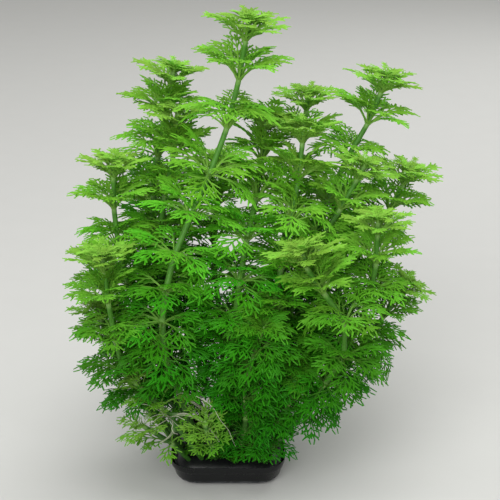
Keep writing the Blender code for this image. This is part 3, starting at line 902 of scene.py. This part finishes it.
def makePot():
    low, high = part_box("pot")
    width, height = high.x - low.x, high.z - low.z
    bpy.ops.mesh.primitive_cube_add(size=1, location=(0, 0, height / 2))
    pot = bpy.context.object
    pot.scale = (width - 2 * potLook["lipOut"], width - 2 * potLook["lipOut"], height)
    bpy.ops.object.transform_apply()
    bpy.ops.object.mode_set(mode="EDIT")
    selectParts(pot, "edges", lambda edge: abs(edge.verts[0].co.z - edge.verts[1].co.z) > height / 2)
    bpy.ops.mesh.bevel(offset=potLook["corner"], segments=potLook["cornerSteps"])
    # The foot is narrower than the rim
    bm = bmesh.from_edit_mesh(pot.data)
    shrink = 1 - 2 * potLook["taper"] / width
    for vert in bm.verts:
        if vert.co.z < height / 2:
            vert.co.x *= shrink
            vert.co.y *= shrink
    bmesh.update_edit_mesh(pot.data)
    # The hollow, down to the floor
    selectParts(pot, "faces", lambda face: face.normal.z > 0.9)
    bpy.ops.mesh.inset(thickness=potLook["wall"])
    bpy.ops.mesh.extrude_region_move(TRANSFORM_OT_translate={"value": (0, 0, -(height - potLook["floor"]))})
    bpy.ops.transform.resize(value=(shrink, shrink, 1), center_override=(0, 0, 0))
    # The lip: a band under the rim, pushed out
    bpy.ops.mesh.select_all(action="SELECT")
    bpy.ops.mesh.bisect(plane_co=(0, 0, height - potLook["lipDrop"]), plane_no=(0, 0, 1))

    def inLip(face):
        centre = face.calc_center_median()
        band = centre.z > height - potLook["lipDrop"] and abs(face.normal.z) < 0.5
        return band and face.normal.xy.dot(centre.xy) > 0

    selectParts(pot, "faces", inLip)
    bpy.ops.mesh.extrude_region_shrink_fatten(TRANSFORM_OT_shrink_fatten={"value": potLook["lipOut"]})
    finishEditing()
    edges = pot.modifiers.new("edges", "BEVEL")
    edges.width = potLook["edge"]
    edges.segments = potLook["edgeSteps"]
    edges.limit_method = "ANGLE"
    edges.angle_limit = potLook["sharpAbove"]
    bpy.ops.object.modifier_apply(modifier="edges")
    bpy.ops.object.shade_smooth_by_angle(angle=potLook["sharpAbove"])
    pot.name = pot.data.name = "pot_tray"
    return pot


# Gravel: small angular stones over the fill

gravelLook = {"seed": 3, "models": 5, "cuts": 3, "cutAt": (0.30, 0.42), "stones": 480,
              "size": (1.1 * mm, 2.3 * mm), "clear": 1.2 * mm, "corner": 9 * mm, "raised": 0.35,
              "turn": 6.3}

def makeStone(chance):
    bpy.ops.mesh.primitive_ico_sphere_add(subdivisions=1, radius=0.5)
    stone = bpy.context.object
    bpy.ops.object.mode_set(mode="EDIT")
    for _ in range(gravelLook["cuts"]):
        cut = Vector((wobble(chance, 1), wobble(chance, 1), wobble(chance, 1))).normalized()
        bpy.ops.mesh.select_all(action="SELECT")
        bpy.ops.mesh.bisect(plane_co=cut * chance.uniform(*gravelLook["cutAt"]), plane_no=cut,
                            use_fill=True, clear_outer=True)
    finishEditing()
    return takenShape(stone)

def makeGravel():
    chance = random.Random(gravelLook["seed"])
    models = [makeStone(chance) for _ in range(gravelLook["models"])]
    _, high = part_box("gravel_fill")
    corner = gravelLook["corner"]
    copies = []
    for _ in range(gravelLook["stones"]):
        size = chance.uniform(*gravelLook["size"])
        reach = high.x - gravelLook["clear"] - size / 2
        x, y = wobble(chance, reach), wobble(chance, reach)
        if max(0, abs(x) - reach + corner) ** 2 + max(0, abs(y) - reach + corner) ** 2 > corner ** 2:
            continue
        points, faces = chance.choice(models)
        turns = [chance.uniform(0, gravelLook["turn"]) for _ in range(2)]
        turn = Matrix.Rotation(turns[0], 3, "Z") @ Matrix.Rotation(turns[1], 3, "X")
        place = np.array((x, y, high.z + size * chance.uniform(0.0, gravelLook["raised"])))
        copies.append((points @ np.array(turn).T * size + place, faces))
    return joinedCopies("gravel_grains", copies)


# Roots: fine pale threads about the two rooted stems

rootLook = {"radius": 0.21 * mm, "end": 0.35, "steps": 9, "bevelSteps": 1}
rootRoutes = [
    # points in mm, thickness share
    ([(-25, -31, 51.7), (-20.2, -40, 58.3), (-11.3, -50, 60.4), (-5.8, -52, 56.6), (-2.7, -55, 52.3),
      (1.0, -52, 45.4), (2.6, -52, 41.0), (4.2, -47, 34.0)], 0.75),
    ([(-26, -34.5, 43), (-20, -37.5, 46.5), (-12, -39, 43.5), (-7, -38.5, 37), (-3, -35.5, 29),
      (-1.5, -34, 24)], 1.2),
    ([(-26.9, -35, 43.2), (-29.1, -43, 48.9), (-32, -47, 50.5), (-35.1, -49, 50)], 1.0),
    ([(-26.9, -35, 42.7), (-29.5, -45, 45.8), (-32.4, -49, 45.8), (-34.2, -50, 45.8)], 1.1),
    ([(-26.9, -35, 43.2), (-31.7, -44, 51.5), (-35.9, -48, 56.1), (-39.1, -49, 57.1)], 0.8),
    ([(-26.9, -35, 42.7), (-24.8, -46, 45.8), (-25.1, -49, 44.3), (-24.2, -49, 42.2),
      (-22.4, -49, 41.7)], 1.1),
    ([(-26.9, -35, 43.2), (-23.4, -44, 48.4), (-20.9, -48, 49.4), (-19, -49, 48.9)], 1.1),
    ([(-26.9, -35, 42.7), (-22.9, -46, 44.8), (-20.5, -49, 44.3)], 0.8),
    ([(-26.9, -35, 43.2), (-30.8, -45, 48.4), (-34.2, -49, 47.9), (-36.9, -50, 48.4)], 0.8),
    ([(-22, -27.5, 49), (-15, -28, 47), (-8, -27.5, 39), (-5, -25, 29)], 1.0),
    ([(-6.5, -20, 22.3), (-1, -22, 21.4), (4, -23, 20.8), (9, -22, 20.2)], 1.1),
]

def smoothed(knots, steps):
    # A curve through every knot
    places = []
    padded = [knots[0], *knots, knots[-1]]
    for before, start, end, after in zip(padded, padded[1:], padded[2:], padded[3:]):
        for step in range(steps):
            t = step / steps
            places.append(0.5 * (2 * start + (end - before) * t
                                 + (2 * before - 5 * start + 4 * end - after) * t ** 2
                                 + (3 * start - before - 3 * end + after) * t ** 3))
    return places + [knots[-1]]

def makeRoots():
    curve = bpy.data.curves.new("root_threads", "CURVE")
    curve.dimensions = "3D"
    curve.bevel_depth = rootLook["radius"]
    curve.bevel_resolution = rootLook["bevelSteps"]
    curve.use_fill_caps = True
    for route, thickness in rootRoutes:
        places = smoothed([Vector(point) * mm for point in route], rootLook["steps"])
        spline = curve.splines.new("POLY")
        spline.points.add(len(places) - 1)
        for number, place in enumerate(places):
            spline.points[number].co = (*place, 1)
            spline.points[number].radius = thickness * mix(1.0, rootLook["end"], number / (len(places) - 1))
    roots = newObject("root_threads", curve)
    selectOnly(roots)
    bpy.ops.object.convert(target="MESH")
    bpy.ops.object.shade_smooth()
    return bpy.context.object


# Fallen leaves on the gravel, inside the pot's rim

fallenLook = {"seed": 5, "kind": "old", "age": 0.55, "length": (12 * mm, 17 * mm), "lift": 2.5 * mm,
              "start": 24 * mm, "reach": 26 * mm}
fallenBands = [
    # leaves, nearest and farthest place, lowest and highest level, swing from the front rim's direction
    (20, (-24.5 * mm, -19 * mm), (14 * mm, 18 * mm), 0.45),
    (16, (-19 * mm, 23 * mm), (13 * mm, 17 * mm), 3.1),
]

def makeFallen():
    chance = random.Random(fallenLook["seed"])
    copies, ages, runs, tones = [], [], [], []
    for count, places, levels, swing in fallenBands:
        laid = 0
        while laid < count:
            model = chance.choice(leafModels[fallenLook["kind"]])
            x, y, z = wobble(chance, fallenLook["start"]), chance.uniform(*places), chance.uniform(*levels)
            base = Vector((x, y, z))
            heading = chance.choice((0, math.pi)) + wobble(chance, swing)
            out = Vector((math.cos(heading), math.sin(heading), 0))
            length = chance.uniform(*fallenLook["length"])
            end = base + out * length
            if max(abs(end.x), abs(end.y)) > fallenLook["reach"]:
                continue
            broad = base + out * length * broadAt + Vector((0, 0, fallenLook["lift"]))
            leaf = {"base": base, "end": end, "broad": broad, "side": out.cross(Vector((0, 0, 1)))}
            copies.append((laidLeaf(model, leaf), model.faces))
            ages.append(np.full(len(model.run), fallenLook["age"]))
            runs.append(model.run)
            tones.append(np.full(len(model.run), chance.random()))
            laid += 1
    fallen = joinedCopies("fallen_leaves", copies)
    # Fallen leaves take the full painted shade low in the bush
    leafValues(fallen, ages, runs, tones, 1.0)
    return fallen


# Assembly

def dress(piece, material, node=None):
    piece.data.materials.append(material)
    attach(piece, "root")
    if node:
        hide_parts(node)

blades = {name: makeBlade(name) for name in bladeShapes}
modelChance = random.Random(leafParts["seed"])
leafModels = {kind: [LeafModel(kind, modelChance) for _ in range(look["models"])]
              for kind, look in leafKinds.items()}
print("leaf models done, faces:", {kind: len(models[0].faces) for kind, models in leafModels.items()})

mottle, paintedShadeTree = mottleGroup(), paintedShadeGroup()
leafMaterial, stemMaterial = makeLeafMaterial(), makeStemMaterial()

foliageFaces = 0
for nodeName in sorted(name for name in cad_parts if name.startswith("sprig_")):
    solid, whorls = readSprig(nodeName)
    stem = makeStem(nodeName.replace("sprig_", "stem_"), solid, whorls)
    foliage = makeFoliage(nodeName.replace("sprig_", "foliage_"), whorls, random.Random(nodeName))
    dress(stem, stemMaterial, nodeName)
    dress(foliage, leafMaterial, nodeName)
    foliageFaces += len(foliage.data.polygons)
print("sprigs done, faces of their foliage:", foliageFaces)

dress(makePot(), makePotMaterial(), "pot")
gravelMaterial = makeGravelMaterial()
dress(makeGravel(), gravelMaterial)
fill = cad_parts["gravel_fill"]
fill.data.materials.clear()
fill.data.materials.append(gravelMaterial)
dress(makeRoots(), makeRootMaterial())
dress(makeFallen(), leafMaterial)
print("pot, gravel, roots and fallen leaves done")


# Floor, light and camera

stageLook = {
    "floor": 6.0,
    "roughness": 0.85,
    "colour": (0.60, 0.60, 0.58),
    "mottle": {"Scale": 40.0, "Strength": 0.03},
    "worldColour": (0.96, 0.96, 0.94, 1),
    "worldStrength": 0.45,
    "lookAt": (0, 0, 0.11),
}
lights = [
    # name, place, size, power
    ("overhead", (0.1, -0.4, 1.6), 1.2, 12.0),
    ("front", (-0.4, -1.3, 0.9), 1.0, 16.0),
    ("behind", (0.6, 0.9, 0.9), 0.9, 5.0),
]
cameraLook = {"place": (0.011, -0.5798, 0.3256), "down": 20.0, "lens": 92.6}

def makeStage():
    bpy.ops.mesh.primitive_plane_add(size=stageLook["floor"])
    floor = bpy.context.object
    floor.name = "floor"
    material, tree, shader = newMaterial("pale floor", stageLook)
    mottledBase(tree, shader, stageLook["colour"], stageLook)
    floor.data.materials.append(material)
    world = bpy.data.worlds.new("studio")
    world.use_nodes = True
    background = world.node_tree.nodes["Background"]
    background.inputs["Color"].default_value = stageLook["worldColour"]
    background.inputs["Strength"].default_value = stageLook["worldStrength"]
    bpy.context.scene.world = world
    bpy.context.scene.view_settings.view_transform = "Standard"
    for name, place, size, power in lights:
        light = bpy.data.lights.new(name, "AREA")
        light.shape = "DISK"
        light.size = size
        light.energy = power
        lamp = newObject(name, light)
        lamp.location = place
        towards = Vector(stageLook["lookAt"]) - Vector(place)
        lamp.rotation_euler = towards.to_track_quat("-Z", "Y").to_euler()
    camera = newObject("camera", bpy.data.cameras.new("camera"))
    camera.location = cameraLook["place"]
    camera.rotation_euler = (math.radians(90 - cameraLook["down"]), 0, 0)
    camera.data.lens = cameraLook["lens"]
    bpy.context.scene.camera = camera

makeStage()
print("floor, light and camera done")
